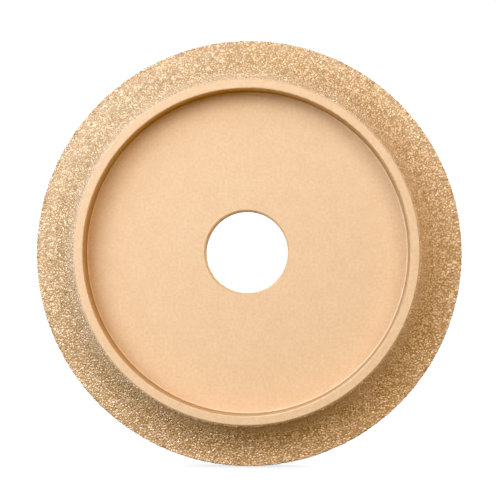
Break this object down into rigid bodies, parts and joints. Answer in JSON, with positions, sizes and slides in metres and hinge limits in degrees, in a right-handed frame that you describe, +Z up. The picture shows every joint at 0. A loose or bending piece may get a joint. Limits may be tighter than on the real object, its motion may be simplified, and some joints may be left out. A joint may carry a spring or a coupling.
{
  "type": "diamond grinding wheel",
  "caption": "Cove-profile diamond wheel with a recessed steel core, a plain rim and a gritted concave flank for rounding stone edges.",
  "frame": {"origin": "centre of the wheel: on the bore axis, half way between the front of the rim and the back face", "axes": "the wheel stands upright and turns about +Y; its recessed front faces -Y; +Z up"},
  "size_m": [0.106, 0.015, 0.106],
  "materials": {
    "gold_lacquered_steel": "satin gold lacquer on blasted steel",
    "gold_lacquered_braze": "gold lacquer over rough nickel-chromium braze",
    "gold_lacquered_grit": "diamond grains under thin gold lacquer"
  },
  "bodies": {
    "root": {"wheel_core": "gold_lacquered_steel", "braze_layer": "gold_lacquered_braze", "diamond_layer": "gold_lacquered_grit"}
  },
  "joints": []
}
